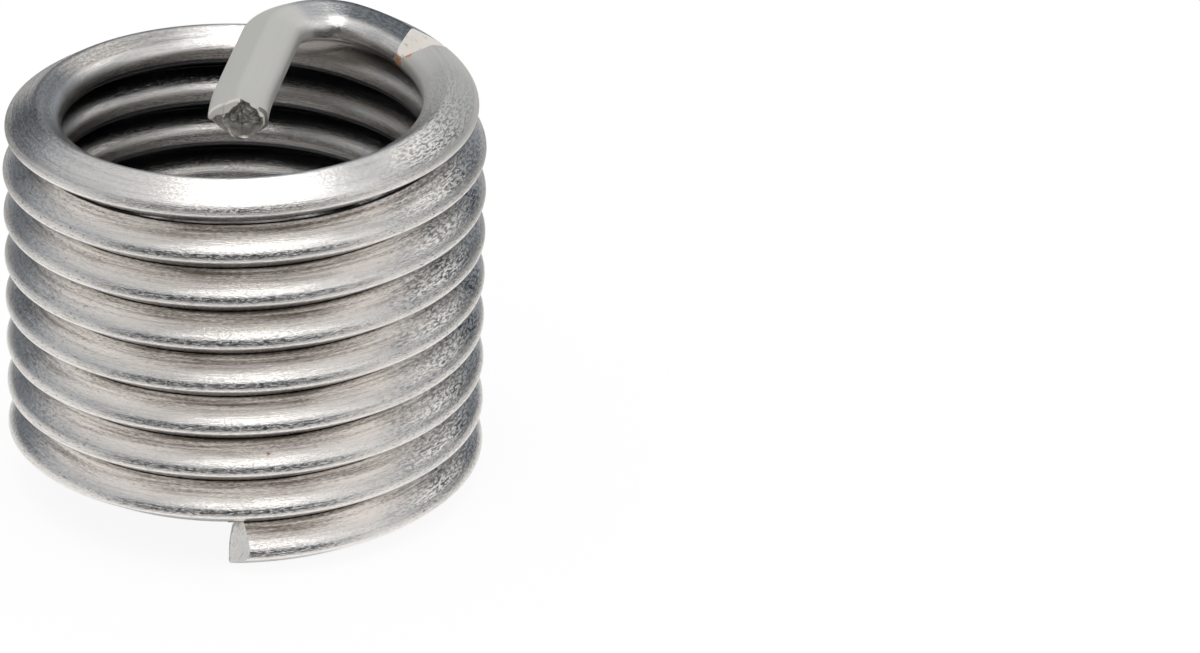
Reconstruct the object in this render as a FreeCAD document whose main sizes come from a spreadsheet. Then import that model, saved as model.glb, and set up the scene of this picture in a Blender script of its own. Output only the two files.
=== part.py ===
# Helical thread insert: one diamond-section wire coiled into a screw thread,
# with a driving tang bent across its top and a notch where the tang snaps off.
# Lengths are in millimetres. +Z is the coil axis, and the plain wire end rests at Z = 0.
import FreeCAD
import Part
import Sketcher
import math
import os

doc = FreeCAD.newDocument("ThreadInsert")

# Sizes

SIZES = [
    ("free_diameter", 9.6, "outside of the relaxed coil, over its crests"),
    ("wire_width", 0.875, "wire from its lower ridge to its upper ridge"),
    ("flank_angle", 60.0, "degrees between the two flanks at a crest"),
    ("crest_land", 0.17, "flat along the outer crest"),
    ("bore_land", 0.29, "flat along the inner crest, which lines the bore"),
    ("bore_allowance", 0.015, "wire left inside the bore before the bore is trued"),
    ("coil_gap", 0.055, "air between two coils at their ridges"),
    ("start_bearing", -94.5, "degrees about the axis to the plain wire end"),
    ("working_turns", 7.5, "coils that carry the thread"),
    ("tang_turns", 0.9153, "last part coil, drawn in towards the tang"),
    ("tang_coil_shrink", 0.19, "how far the last part coil is drawn in at its end"),
    ("bend_radius", 1.14, "ridge line radius of the bend into the tang"),
    ("bend_angle", 114.0, "degrees that the bend turns the wire inwards"),
    ("tang_past_axis", 1.25, "tip of the tang beyond the coil axis"),
    ("notch_setback", 1.815, "root of the notch back from the bend, along the ridge"),
    ("notch_depth", 0.4375, "root of the notch below the upper ridge"),
    ("notch_steep_angle", 33.0, "degrees off the vertical, tang side of the notch"),
    ("notch_shallow_angle", 50.0, "degrees off the vertical, coil side of the notch"),
    ("bevel_length", 0.5, "bevel on the plain wire end, along the wire"),
    ("bevel_depth", 0.4, "bevel on the plain wire end, in from the crest"),
]

# Sizes that follow from those above

DERIVED = [
    ("coil_rise", "=wire_width + coil_gap"),
    ("flank_slope", "=tan(flank_angle / 2)"),
    ("crest_radius", "=free_diameter / 2"),
    ("ridge_radius", "=crest_radius - (wire_width - crest_land) / 2 / flank_slope"),
    ("bore_radius", "=ridge_radius - (wire_width - bore_land) / 2 / flank_slope"),
    ("base_turns", "=working_turns + tang_turns"),
    ("base_bearing", "=start_bearing + 360 * base_turns"),
    ("base_height", "=coil_rise * base_turns + wire_width / 2"),
    ("base_radius", "=ridge_radius - tang_coil_shrink"),
    ("base_slope", "=atan(coil_rise / (2 * pi * base_radius))"),
    ("tang_length", "=(base_radius - bend_radius) * sin(bend_angle) + tang_past_axis"),
    ("notch_turns", "=base_turns - notch_setback / (2 * pi * base_radius)"),
    ("notch_bearing", "=start_bearing + 360 * notch_turns"),
    ("notch_root", "=coil_rise * notch_turns + wire_width - notch_depth"),
    ("notch_height", "=notch_depth + coil_gap"),
    ("notch_inside", "=bore_radius - wire_width"),
]

# Number of arcs that the bore wall is cut in on each turn, so that every arc stays short
BORE_SECTORS = 4

sheet = doc.addObject("Spreadsheet::Sheet", "Sizes")
for row, (alias, value, meaning) in enumerate(SIZES, start=1):
    sheet.set(f"A{row}", alias)
    sheet.set(f"B{row}", str(value))
    sheet.setAlias(f"B{row}", alias)
    sheet.set(f"C{row}", meaning)
for row, (alias, formula) in enumerate(DERIVED, start=len(SIZES) + 1):
    sheet.set(f"A{row}", alias)
    sheet.set(f"B{row}", formula)
    sheet.setAlias(f"B{row}", alias)
doc.recompute()

body = doc.addObject("PartDesign::Body", "InsertWire")
body.Label = "insert_wire"


def origin_feature(role):
    """One of the body's own origin planes or axes."""
    return next(feature for feature in body.Origin.OriginFeatures if feature.Role == role)


def moved(x, y, z, axis, degrees):
    """A placement formula: a turn about a local axis, then a shift."""
    return f"placement(vector({x}; {y}; {z}); rotation(vector({axis}); {degrees}))"


def add_sketch(name, role, placement):
    """A sketch on an origin plane, moved from it by a placement formula."""
    sketch = body.newObject("Sketcher::SketchObject", name)
    sketch.AttachmentSupport = [(origin_feature(role), "")]
    sketch.MapMode = "FlatFace"
    sketch.setExpression("AttachmentOffset", placement)
    return sketch


def hold_point(sketch, line, end, formula_x, formula_y):
    """Fix one end of a sketch line by formulas for its place from the sketch origin."""
    for kind, formula in (("DistanceX", formula_x), ("DistanceY", formula_y)):
        value = sketch.evalExpression(formula)
        index = sketch.addConstraint(Sketcher.Constraint(kind, -1, 1, line, end, value))
        sketch.setExpression(f"Constraints[{index}]", formula)


def draw_outline(sketch, corners):
    """A closed outline of straight lines through corners given as pairs of formulas."""
    points = []
    for formula_x, formula_y in corners:
        x = sketch.evalExpression(formula_x)
        y = sketch.evalExpression(formula_y)
        points.append(FreeCAD.Vector(x, y, 0))
    lines = []
    for start, end in zip(points, points[1:] + points[:1]):
        lines.append(sketch.addGeometry(Part.LineSegment(start, end), False))
    for line, following in zip(lines, lines[1:] + lines[:1]):
        sketch.addConstraint(Sketcher.Constraint("Coincident", line, 2, following, 1))
    for line, (formula_x, formula_y) in zip(lines, corners):
        hold_point(sketch, line, 1, formula_x, formula_y)


def add_wire_section(name, turns, shrink, allowance):
    """The diamond section of the wire in a plane through the axis, some turns up the coil.

    shrink draws the whole section in towards the axis, and allowance adds to the bore side.
    """
    bearing = f"Sizes.start_bearing + 360 * {turns}"
    sketch = add_sketch(name, "XZ_Plane", moved(0, f"Sizes.coil_rise * {turns}", 0, "0; 1; 0", bearing))
    crest = f"Sizes.crest_radius - {shrink}"
    ridge = f"Sizes.ridge_radius - {shrink}"
    bore = f"Sizes.bore_radius - {shrink} - {allowance}"
    middle = "Sizes.wire_width / 2"
    crest_half = "Sizes.crest_land / 2"
    bore_half = f"(Sizes.bore_land / 2 - {allowance} * Sizes.flank_slope)"
    corners = [
        (crest, f"{middle} - {crest_half}"),
        (crest, f"{middle} + {crest_half}"),
        (ridge, "Sizes.wire_width"),
        (bore, f"{middle} + {bore_half}"),
        (bore, f"{middle} - {bore_half}"),
        (ridge, "0 * Sizes.wire_width"),
    ]
    draw_outline(sketch, corners)
    return sketch


# Working coils

coil_section = add_wire_section("CoilSection", "0", "0", "Sizes.bore_allowance")
doc.recompute()
coils = body.newObject("PartDesign::AdditiveHelix", "WorkingCoils")
coils.Profile = (coil_section, [""])
coils.ReferenceAxis = (coil_section, ["V_Axis"])
coils.Refine = False
coils.Mode = "pitch-turns-angle"
coils.setExpression("Pitch", "Sizes.coil_rise")
coils.setExpression("Turns", "Sizes.working_turns")
doc.recompute()

# Bore, trued to size along the working coils

sector = body.newObject("PartDesign::SubtractiveCylinder", "BoreSector")
sector.AttachmentSupport = [(origin_feature("XY_Plane"), "")]
sector.MapMode = "FlatFace"
sector.setExpression("AttachmentOffset", moved(0, 0, 0, "0; 0; 1", "Sizes.start_bearing"))
sector.Refine = False
sector.Angle = 360 / BORE_SECTORS
sector.setExpression("Radius", "Sizes.bore_radius")
sector.setExpression("Height", "Sizes.coil_rise * (Sizes.working_turns + 1)")
doc.recompute()
bore = body.newObject("PartDesign::PolarPattern", "Bore")
bore.Originals = [sector]
bore.Axis = (origin_feature("Z_Axis"), [""])
bore.Angle = 360
bore.Occurrences = BORE_SECTORS
bore.Refine = False
body.Tip = bore
doc.recompute()

# Last part coil, drawn in towards the tang

tang_coil_section = add_wire_section("TangCoilSection", "Sizes.working_turns", "0", "0")
doc.recompute()
tang_coil = body.newObject("PartDesign::AdditiveHelix", "TangCoil")
tang_coil.Profile = (tang_coil_section, [""])
tang_coil.ReferenceAxis = (tang_coil_section, ["V_Axis"])
tang_coil.Refine = False
tang_coil.Mode = "height-turns-growth"
tang_coil.setExpression("Height", "Sizes.coil_rise * Sizes.tang_turns")
tang_coil.setExpression("Turns", "Sizes.tang_turns")
tang_coil.setExpression("Growth", "-Sizes.tang_coil_shrink / Sizes.tang_turns")
doc.recompute()

# Tang, bent inwards in a plane that carries on the slope of the coil

tang_section = add_wire_section("TangSection", "Sizes.base_turns", "Sizes.tang_coil_shrink", "0")
bend_level = moved(0, 0, "Sizes.base_height", "0; 0; 1", "Sizes.base_bearing")
bend_tilt = moved("Sizes.base_radius", 0, 0, "1; 0; 0", "Sizes.base_slope")
tang_path = add_sketch("TangPath", "XY_Plane", f"{bend_level} * {bend_tilt}")
radius = tang_path.evalExpression("Sizes.bend_radius")
turn = math.radians(tang_path.evalExpression("Sizes.bend_angle"))
straight = tang_path.evalExpression("Sizes.tang_length")
bend_end = FreeCAD.Vector(radius * (math.cos(turn) - 1), radius * math.sin(turn), 0)
tip = bend_end + FreeCAD.Vector(-straight * math.sin(turn), straight * math.cos(turn), 0)
bend_circle = Part.Circle(FreeCAD.Vector(-radius, 0, 0), FreeCAD.Vector(0, 0, 1), radius)
bend = tang_path.addGeometry(Part.ArcOfCircle(bend_circle, 0, turn), False)
run = tang_path.addGeometry(Part.LineSegment(bend_end, tip), False)
tang_path.addConstraint(Sketcher.Constraint("Coincident", bend, 1, -1, 1))
tang_path.addConstraint(Sketcher.Constraint("PointOnObject", bend, 3, -1))
tang_path.addConstraint(Sketcher.Constraint("Tangent", bend, 2, run, 1))
bend_size = tang_path.addConstraint(Sketcher.Constraint("Radius", bend, radius))
tang_path.setExpression(f"Constraints[{bend_size}]", "Sizes.bend_radius")
bend_across = "Sizes.bend_radius * (cos(Sizes.bend_angle) - 1)"
bend_along = "Sizes.bend_radius * sin(Sizes.bend_angle)"
tip_across = f"{bend_across} - Sizes.tang_length * sin(Sizes.bend_angle)"
tip_along = f"{bend_along} + Sizes.tang_length * cos(Sizes.bend_angle)"
hold_point(tang_path, run, 2, tip_across, tip_along)
doc.recompute()
tang = body.newObject("PartDesign::AdditivePipe", "Tang")
tang.Profile = (tang_section, [""])
tang.Spine = (tang_path, ["Edge1", "Edge2"])
tang.Refine = False
doc.recompute()

# Notch, where the tang breaks away once the insert is in its hole

notch_turn = moved(0, 0, 0, "0; 1; 0", "Sizes.notch_bearing + 90")
notch_shift = moved(0, 0, "Sizes.notch_inside", "0; 1; 0", 0)
notch_outline = add_sketch("NotchOutline", "XZ_Plane", f"{notch_turn} * {notch_shift}")
notch_mouth = "Sizes.notch_root + Sizes.notch_height"
notch_corners = [
    ("0 * Sizes.notch_height", "Sizes.notch_root"),
    ("Sizes.notch_height * tan(Sizes.notch_steep_angle)", notch_mouth),
    ("-Sizes.notch_height * tan(Sizes.notch_shallow_angle)", notch_mouth),
]
draw_outline(notch_outline, notch_corners)
notch = body.newObject("PartDesign::Pocket", "Notch")
notch.Profile = (notch_outline, [""])
notch.Reversed = True
notch.Refine = False
notch.setExpression("Length", "Sizes.crest_radius - Sizes.notch_inside + Sizes.wire_width")
doc.recompute()

# Bevel that leads the plain wire end into its hole

bevel_outline = add_sketch("BevelOutline", "XY_Plane", moved(0, 0, 0, "0; 0; 1", "Sizes.start_bearing"))
bevel_corners = [
    ("Sizes.crest_radius - 2 * Sizes.bevel_depth", "-Sizes.bevel_length"),
    ("Sizes.crest_radius + Sizes.bevel_depth", "-Sizes.bevel_length"),
    ("Sizes.crest_radius + Sizes.bevel_depth", "2 * Sizes.bevel_length"),
]
draw_outline(bevel_outline, bevel_corners)
bevel = body.newObject("PartDesign::Pocket", "Bevel")
bevel.Profile = (bevel_outline, [""])
bevel.Reversed = True
bevel.Refine = False
bevel.setExpression("Length", "Sizes.wire_width + Sizes.coil_gap / 2")
doc.recompute()

# Every feature has to have been built, and the wire has to be one sound solid

for item in doc.Objects:
    if "Invalid" in item.State or "Error" in item.State:
        raise RuntimeError(f"{item.Label} was not built: {item.State}")
shape = body.Shape
if shape.isNull() or not shape.isValid() or len(shape.Solids) != 1:
    raise RuntimeError("insert_wire is not one sound solid")

os.makedirs("parts", exist_ok=True)
shape.exportStep(f"parts/{body.Label}.step")
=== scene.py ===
"""Looks of a helical thread insert: one diamond-section steel wire, coiled, with a tang and a notch."""

import logging
import math
from dataclasses import dataclass
from enum import IntEnum

import bmesh
import bpy
from mathutils import Matrix, Vector, noise

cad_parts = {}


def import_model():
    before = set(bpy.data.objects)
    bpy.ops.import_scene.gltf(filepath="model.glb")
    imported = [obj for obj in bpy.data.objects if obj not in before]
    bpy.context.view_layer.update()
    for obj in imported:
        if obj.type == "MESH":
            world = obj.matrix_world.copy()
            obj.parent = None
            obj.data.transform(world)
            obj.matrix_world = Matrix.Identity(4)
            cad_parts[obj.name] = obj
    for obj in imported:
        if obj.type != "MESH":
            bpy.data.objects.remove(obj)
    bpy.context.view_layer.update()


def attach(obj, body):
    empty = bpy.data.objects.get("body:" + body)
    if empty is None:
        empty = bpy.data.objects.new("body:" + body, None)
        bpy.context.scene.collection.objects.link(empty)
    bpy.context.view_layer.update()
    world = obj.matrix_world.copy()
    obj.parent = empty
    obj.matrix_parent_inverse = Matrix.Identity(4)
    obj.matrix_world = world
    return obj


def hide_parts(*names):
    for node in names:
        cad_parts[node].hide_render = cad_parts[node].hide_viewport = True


MM = 0.001
PER_METRE = 1000.0
FULL_TURN = 2 * math.pi
UV_NAME = "along_wire"
WHITE = (1, 1, 1, 1)
LOG = logging.getLogger("thread_insert")

Socket = bpy.types.NodeSocket
Tree = bpy.types.NodeTree
Inputs = dict[str | int, object]
Colour = tuple[float, float, float]
Span = tuple[float, float]
Band = tuple[float, float, float, float]


class Slot(IntEnum):
    """Material slots of the wire's mesh."""

    DRAWN = 0
    SHEARED = 1
    TORN = 2
    GROUND = 3


# Node helpers


class Nodes:
    """Adds linked nodes to one tree."""

    def __init__(self, tree: Tree) -> None:
        """Keep the tree."""
        self.tree = tree

    def fill(self, node: bpy.types.Node, inputs: Inputs) -> bpy.types.Node:
        """Give a node its inputs.

        Args:
            node: The node.
            inputs: What each input takes, by name or place: a field or a socket is linked, and anything
                else is set as a value.

        Returns:
            The node.
        """
        for name, value in inputs.items():
            source = value.socket if isinstance(value, Field) else value
            if isinstance(source, Socket):
                self.tree.links.new(source, node.inputs[name])
            else:
                node.inputs[name].default_value = source
        return node

    def add(self, kind: str, inputs: Inputs | None = None, **settings: object) -> bpy.types.Node:
        """Add a node.

        Args:
            kind: The node's type.
            inputs: Its inputs, as fill() takes them.
            settings: The node's own settings.

        Returns:
            The node.
        """
        node = self.tree.nodes.new(kind)
        for name, value in settings.items():
            setattr(node, name, value)
        return self.fill(node, inputs or {})

    def field(self, kind: str, inputs: Inputs, output: str | int = 0, **settings: object) -> "Field":
        """One result of a new node, which is added as in add()."""
        return Field(self, self.add(kind, inputs, **settings).outputs[output])

    def vector(self, *parts: "Field | float") -> Socket:
        """Up to three values as one vector."""
        return self.add("ShaderNodeCombineXYZ", dict(enumerate(parts))).outputs[0]

    def parts(self, vector: Socket) -> "list[Field]":
        """The three parts of a vector."""
        return [Field(self, output) for output in self.add("ShaderNodeSeparateXYZ", {0: vector}).outputs]

    def length(self, vector: Socket) -> "Field":
        """The length of a vector."""
        return self.field("ShaderNodeVectorMath", {0: vector}, "Value", operation="LENGTH")

    def scaled(self, vector: Socket, *factors: float) -> Socket:
        """A vector scaled along each axis."""
        return self.add("ShaderNodeVectorMath", {0: vector, 1: factors}, operation="MULTIPLY").outputs[0]

    def millimetres(self, place: Socket) -> Socket:
        """A place in metres as one in millimetres."""
        return self.scaled(place, PER_METRE, PER_METRE, PER_METRE)

    def shifted(self, vector: Socket, middle: Vector, scale: float = 1.0) -> Socket:
        """A vector scaled and then measured from a middle."""
        inputs = {0: vector, 1: (scale, scale, scale), 2: -middle}
        return self.add("ShaderNodeVectorMath", inputs, operation="MULTIPLY_ADD").outputs[0]

    def noise(self, place: Socket, detail: float, roughness: float) -> "Field":
        """A noise pattern around one half, read at a place that is already scaled."""
        inputs = {"Vector": place, "Scale": 1.0, "Detail": detail, "Roughness": roughness}
        return self.field("ShaderNodeTexNoise", inputs)

    def group(self, tree: Tree, vector: Socket, amount: float) -> "dict[str, Field]":
        """The results of a shared group by name, for a vector and an amount of its own."""
        node = self.add("ShaderNodeGroup", {0: vector, 1: amount}, node_tree=tree)
        return {output.name: Field(self, output) for output in node.outputs}

    def blend(self, share: "Field", low: Socket | Colour, high: Socket | Colour, most: float = 1.0) -> Socket:
        """A colour between two, by a varying share.

        Args:
            share: 0 gives the first colour and 1 the second.
            low: The first colour.
            high: The second colour.
            most: Largest part that the second colour takes.

        Returns:
            The mixed colour.
        """
        first, second = ((*colour, 1) if isinstance(colour, tuple) else colour for colour in (low, high))
        inputs = {"Factor": share * most, "A": first, "B": second}
        return self.add("ShaderNodeMix", inputs, data_type="RGBA").outputs["Result"]

    def bump(self, height: "Field") -> Socket:
        """A normal roughened by a height in millimetres."""
        return self.add("ShaderNodeBump", {"Strength": 1.0, "Distance": MM, "Height": height}).outputs[0]

    def mixed(self, share: "Field", low: bpy.types.Node, high: bpy.types.Node) -> bpy.types.Node:
        """Two shaders mixed by a share."""
        return self.add("ShaderNodeMixShader", {0: share, 1: low.outputs[0], 2: high.outputs[0]})


class Field:
    """One value in a node tree. Plain arithmetic on it adds Math nodes to the tree."""

    def __init__(self, nodes: Nodes, socket: Socket) -> None:
        """Keep the tree's nodes and the output socket that carries the value."""
        self.nodes = nodes
        self.socket = socket

    def join(self, operation: str, *others: "Field | float", clamp: bool = False) -> "Field":
        """Add one Math node.

        Args:
            operation: The Math node's operation.
            others: Its further operands.
            clamp: Whether the result is held between 0 and 1.

        Returns:
            The node's result.
        """
        inputs = dict(enumerate((self, *others)))
        return self.nodes.field("ShaderNodeMath", inputs, operation=operation, use_clamp=clamp)

    def __add__(self, other: "Field | float") -> "Field":
        """Sum."""
        return self.join("ADD", other)

    def __sub__(self, other: "Field | float") -> "Field":
        """Difference."""
        return self.join("SUBTRACT", other)

    def __mul__(self, other: "Field | float") -> "Field":
        """Product."""
        return self.join("MULTIPLY", other)

    def __truediv__(self, other: "Field | float") -> "Field":
        """Quotient."""
        return self.join("DIVIDE", other)

    def most(self, other: "Field | float") -> "Field":
        """The larger of two values."""
        return self.join("MAXIMUM", other)

    def least(self, other: "Field | float") -> "Field":
        """The smaller of two values."""
        return self.join("MINIMUM", other)

    def size(self) -> "Field":
        """The value without its sign."""
        return self.join("ABSOLUTE")

    def sine(self) -> "Field":
        """Sine of an angle in radians."""
        return self.join("SINE")

    def cosine(self) -> "Field":
        """Cosine of an angle in radians."""
        return self.join("COSINE")

    def held(self) -> "Field":
        """The value held between 0 and 1."""
        return self.join("MAXIMUM", 0.0, clamp=True)

    def left(self, part: float = 1.0) -> "Field":
        """What is left of 1 when a part of the value is taken off."""
        return self * -part + 1

    def near(self, middle: float, span: Span) -> "Field":
        """Smooth step over the distance to a middle."""
        return (self - middle).size().step(*span)

    def step(self, low: float, high: float) -> "Field":
        """Smooth step from 0 at one value to 1 at another, which may be the lower one."""
        inputs = {"Value": self, "From Min": low, "From Max": high}
        return self.nodes.field("ShaderNodeMapRange", inputs, "Result", interpolation_type="SMOOTHSTEP")

    def band(self, start: float, full: float, full_end: float, end: float) -> "Field":
        """Smooth steps up from a start to full, and down again to an end."""
        return self.step(start, full) * self.step(end, full_end)


# Sizes


def outward(bearing: float) -> Vector:
    """Level direction away from the axis at a bearing in radians."""
    return Vector((math.cos(bearing), math.sin(bearing), 0))


def onward(bearing: float) -> Vector:
    """Level direction round the axis at a bearing in radians."""
    return Vector((-math.sin(bearing), math.cos(bearing), 0))


@dataclass(frozen=True)
class WireSizes:
    """Sizes of the wire in millimetres and degrees, as in the solid."""

    free_diameter: float = 9.6
    wire_width: float = 0.875
    flank_angle: float = 60.0
    crest_land: float = 0.17
    bore_land: float = 0.29
    coil_gap: float = 0.055
    start_bearing: float = -94.5
    working_turns: float = 7.5
    tang_turns: float = 0.9153
    tang_coil_shrink: float = 0.19
    bend_radius: float = 1.14
    bend_angle: float = 114.0
    tang_past_axis: float = 1.25
    notch_setback: float = 1.815
    notch_depth: float = 0.4375
    notch_steep_angle: float = 33.0
    notch_shallow_angle: float = 50.0

    @property
    def coil_rise(self) -> float:
        """Rise of one turn."""
        return self.wire_width + self.coil_gap

    @property
    def flank_slope(self) -> float:
        """Rise of a flank over its run."""
        return math.tan(math.radians(self.flank_angle / 2))

    @property
    def crest_radius(self) -> float:
        """Axis to the outer crest."""
        return self.free_diameter / 2

    @property
    def ridge_radius(self) -> float:
        """Axis to the upper and lower ridges."""
        return self.crest_radius - (self.wire_width - self.crest_land) / 2 / self.flank_slope

    @property
    def bore_radius(self) -> float:
        """Axis to the inner crest."""
        return self.ridge_radius - (self.wire_width - self.bore_land) / 2 / self.flank_slope

    @property
    def base_turns(self) -> float:
        """Turns up to where the tang bends off."""
        return self.working_turns + self.tang_turns

    @property
    def base_radius(self) -> float:
        """Ridge radius where the tang bends off."""
        return self.ridge_radius - self.tang_coil_shrink

    @property
    def base_slope(self) -> float:
        """Slope of the coil in radians where the tang bends off."""
        return math.atan(self.coil_rise / (FULL_TURN * self.base_radius))

    @property
    def turn_length(self) -> float:
        """Length of wire in one turn, along its ridges."""
        return FULL_TURN * self.ridge_radius

    @property
    def coil_length(self) -> float:
        """Length of wire in the coil, along its ridges."""
        return self.turn_length * self.base_turns

    @property
    def bend_length(self) -> float:
        """Length of wire in the bend."""
        return self.bend_radius * math.radians(self.bend_angle)

    @property
    def tang_length(self) -> float:
        """Straight part of the tang."""
        across = (self.base_radius - self.bend_radius) * math.sin(math.radians(self.bend_angle))
        return across + self.tang_past_axis

    @property
    def wire_length(self) -> float:
        """Whole length of the wire."""
        return self.coil_length + self.bend_length + self.tang_length

    @property
    def notch_turns(self) -> float:
        """Turns up to the root of the notch."""
        return self.base_turns - self.notch_setback / (FULL_TURN * self.base_radius)

    @property
    def notch_length(self) -> float:
        """Length along the wire at the notch's root."""
        return self.notch_turns / self.base_turns * self.coil_length

    @property
    def notch_root(self) -> float:
        """Height of the notch's root."""
        return self.coil_rise * self.notch_turns + self.wire_width - self.notch_depth

    def bearing(self, turns: float) -> float:
        """Bearing in radians after a number of turns."""
        return math.radians(self.start_bearing + 360 * turns)

    def notch_point(self, out: float) -> Vector:
        """The point of the notch's root line at a distance outwards from the ridge line."""
        level = outward(self.bearing(self.notch_turns)) * (self.base_radius + out)
        return level + Vector((0, 0, self.notch_root))

    def axes(self, along: float) -> Matrix:
        """Local axes on the wire.

        Args:
            along: Length along the wire from its plain end.

        Returns:
            Axes ahead, outwards and up, with their origin on the ridge line, in millimetres.
        """
        turns = min(along, self.coil_length) / self.coil_length * self.base_turns
        bearing = self.bearing(turns)
        radial = outward(bearing)
        middle = Vector((0, 0, self.coil_rise * turns + self.wire_width / 2))
        past = max(along - self.coil_length, 0.0)
        if past == 0:
            drawn_in = self.tang_coil_shrink * max(0.0, (turns - self.working_turns) / self.tang_turns)
            ahead = onward(bearing) + Vector((0, 0, self.coil_rise / self.turn_length))
            return self.joined(ahead.normalized(), radial, radial * (self.ridge_radius - drawn_in) + middle)
        start = onward(bearing) * math.cos(self.base_slope) + Vector((0, 0, math.sin(self.base_slope)))
        turn = min(past, self.bend_length) / self.bend_radius
        straight = max(past - self.bend_length, 0.0)
        limit = math.radians(self.bend_angle)
        across = self.bend_radius * (math.cos(turn) - 1) - straight * math.sin(limit)
        level = self.bend_radius * math.sin(turn) + straight * math.cos(limit)
        out = radial * math.cos(turn) + start * math.sin(turn)
        ahead = start * math.cos(turn) - radial * math.sin(turn)
        return self.joined(ahead, out, radial * (self.base_radius + across) + middle + start * level)

    @staticmethod
    def joined(ahead: Vector, out: Vector, origin: Vector) -> Matrix:
        """A matrix whose columns are ahead, outwards, up and the origin."""
        return Matrix.Translation(origin) @ Matrix((ahead, out, out.cross(ahead))).transposed().to_4x4()


@dataclass(frozen=True)
class WireWear:
    """How the drawn and bent wire departs from the solid, in millimetres but for shares of the section.

    The section is walked from its seam in the bore over the upper ridge at 0.25, the crest at 0.5 and the
    lower ridge at 0.75.
    """

    ridge_fill: float = 0.041
    unevenness: float = 0.003
    uneven_turns: Band = (0.5, 1.5, 7.2, 8.2)
    crest_wear: Band = (0.360, 0.400, 0.488, 0.520)
    bore_edge_wear: Band = (0.012, 0.030, 0.095, 0.125)
    sharp_ridge: Span = (0.05, 0.25)
    crisp_edge: float = 0.527
    crisp_reach: Span = (0.012, 0.030)
    press_reach: float = 1.6
    pressed: Span = (-0.9, 1.0)
    tang_bulge: float = 0.085
    bend_bulge: float = 0.10
    bend_bulge_reach: float = 0.75
    bulge_depth: float = 0.507
    side_lift: float = 0.075
    lifted: Span = (0.0, 1.8)
    lift_reach: float = 0.55
    flattening: float = 0.05
    end_swing: float = 0.095
    end_swing_length: float = 1.2


@dataclass(frozen=True)
class MeshSteps:
    """How finely the wire's mesh is divided, and how often its corners are evened out."""

    rings: int = 1120
    coil_share: float = 0.9
    around: int = 76
    soften: int = 2
    wear: int = 14
    tear: int = 17
    end_columns: int = 30
    end_rows: int = 22


# Wire shape as a node tree


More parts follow.
